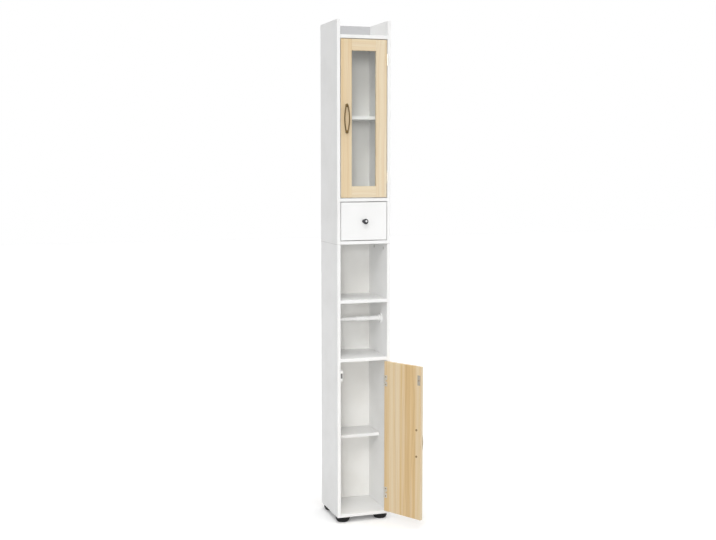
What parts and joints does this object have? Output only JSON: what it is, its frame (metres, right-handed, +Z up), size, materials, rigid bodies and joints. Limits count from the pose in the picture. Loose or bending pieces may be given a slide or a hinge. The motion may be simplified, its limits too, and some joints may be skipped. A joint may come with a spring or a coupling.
{
  "type": "tall bathroom cabinet",
  "caption": "Tall slim bathroom cabinet on feet with a glazed pine door, a drawer, open bays, a paper-roll rod and a solid pine door standing open.",
  "frame": {"origin": "on the floor under the centre of the front left foot, 28 mm in from the carcass's left side and front", "axes": "+Z up, +X to the right as seen from the front, +Y to the back"},
  "size_m": [0.2751, 0.3613, 1.804],
  "materials": {
    "white_board": "white satin foil on board",
    "thin_board": "white faced hardboard",
    "pine": "lacquered pine",
    "beech": "plain",
    "glass": "clear",
    "bronze": "antique bronze",
    "chrome": "polished",
    "zinc": "zinc plated",
    "nickel": "nickel plated",
    "dark_steel": "dark",
    "black_plastic": "matt",
    "white_plastic": "satin"
  },
  "bodies": {
    "cabinet": {"upper_left_side": "white_board", "upper_right_side": "white_board", "lower_left_side": "white_board", "lower_right_side": "white_board", "top_panel": "white_board", "upper_divider": "white_board", "middle_panel": "white_board", "towel_shelf": "white_board", "roll_floor": "white_board", "base_panel": "white_board", "gallery_rail": "white_board", "upper_shelf": "white_board", "lower_shelf": "white_board", "upper_back": "thin_board", "lower_back": "thin_board", "shelf_pegs": "zinc", "back_nails": "zinc", "feet": "black_plastic", "cam_nuts": "zinc", "cam_bolts": "zinc", "dowels": "beech", "upper_catch": "white_plastic", "lower_catch": "white_plastic", "catch_magnets": "dark_steel", "left_socket": "white_plastic", "right_socket": "white_plastic", "hinge_pins": "nickel", "cabinet_screws": "zinc", "upper_bottom_frame_leaf": "nickel", "upper_top_frame_leaf": "nickel", "lower_bottom_frame_leaf": "nickel", "lower_top_frame_leaf": "nickel"},
    "glass_door": {"left_stile": "pine", "right_stile": "pine", "bottom_rail": "pine", "top_rail": "pine", "glass_pane": "glass", "glass_beads": "pine", "upper_handle": "bronze", "upper_strike": "nickel", "glass_door_screws": "bronze", "upper_bottom_door_leaf": "nickel", "upper_top_door_leaf": "nickel"},
    "lower_door": {"lower_door_panel": "pine", "lower_handle": "bronze", "lower_strike": "nickel", "lower_door_screws": "bronze", "lower_bottom_door_leaf": "nickel", "lower_top_door_leaf": "nickel"},
    "drawer": {"drawer_front": "white_board", "drawer_left": "white_board", "drawer_right": "white_board", "drawer_back": "white_board", "drawer_bottom": "thin_board", "drawer_screws": "zinc", "drawer_dowels": "beech", "knob": "chrome"},
    "roll_rod": {"roll_tube": "white_plastic", "roll_spring": "zinc"},
    "roll_plunger": {"roll_plunger_rod": "white_plastic"}
  },
  "joints": [
    {"name": "upper_door_hinge", "type": "hinge", "parent": "cabinet", "child": "glass_door", "pos_m": [0.1587, -0.0308, 1.46], "axis": [0, 0, 1], "range_deg": [0, 170]},
    {"name": "lower_door_hinge", "type": "hinge", "parent": "cabinet", "child": "lower_door", "pos_m": [0.1587, -0.0308, 0.312], "axis": [0, 0, 1], "range_deg": [-119, 51]},
    {"name": "drawer_slide", "type": "slide", "parent": "cabinet", "child": "drawer", "axis": [0, -1, 0], "range_m": [0, 0.13]},
    {"name": "roll_rod_spin", "type": "hinge", "parent": "cabinet", "child": "roll_rod", "pos_m": [0.072, 0.042, 0.738], "axis": [1, 0, 0], "continuous": true},
    {"name": "roll_plunger_slide", "type": "slide", "parent": "roll_rod", "child": "roll_plunger", "axis": [1, 0, 0], "range_m": [0, 0.01], "stiffness_N_per_m": 300, "springref_m": -0.008, "deforming": ["roll_spring"]}
  ]
}
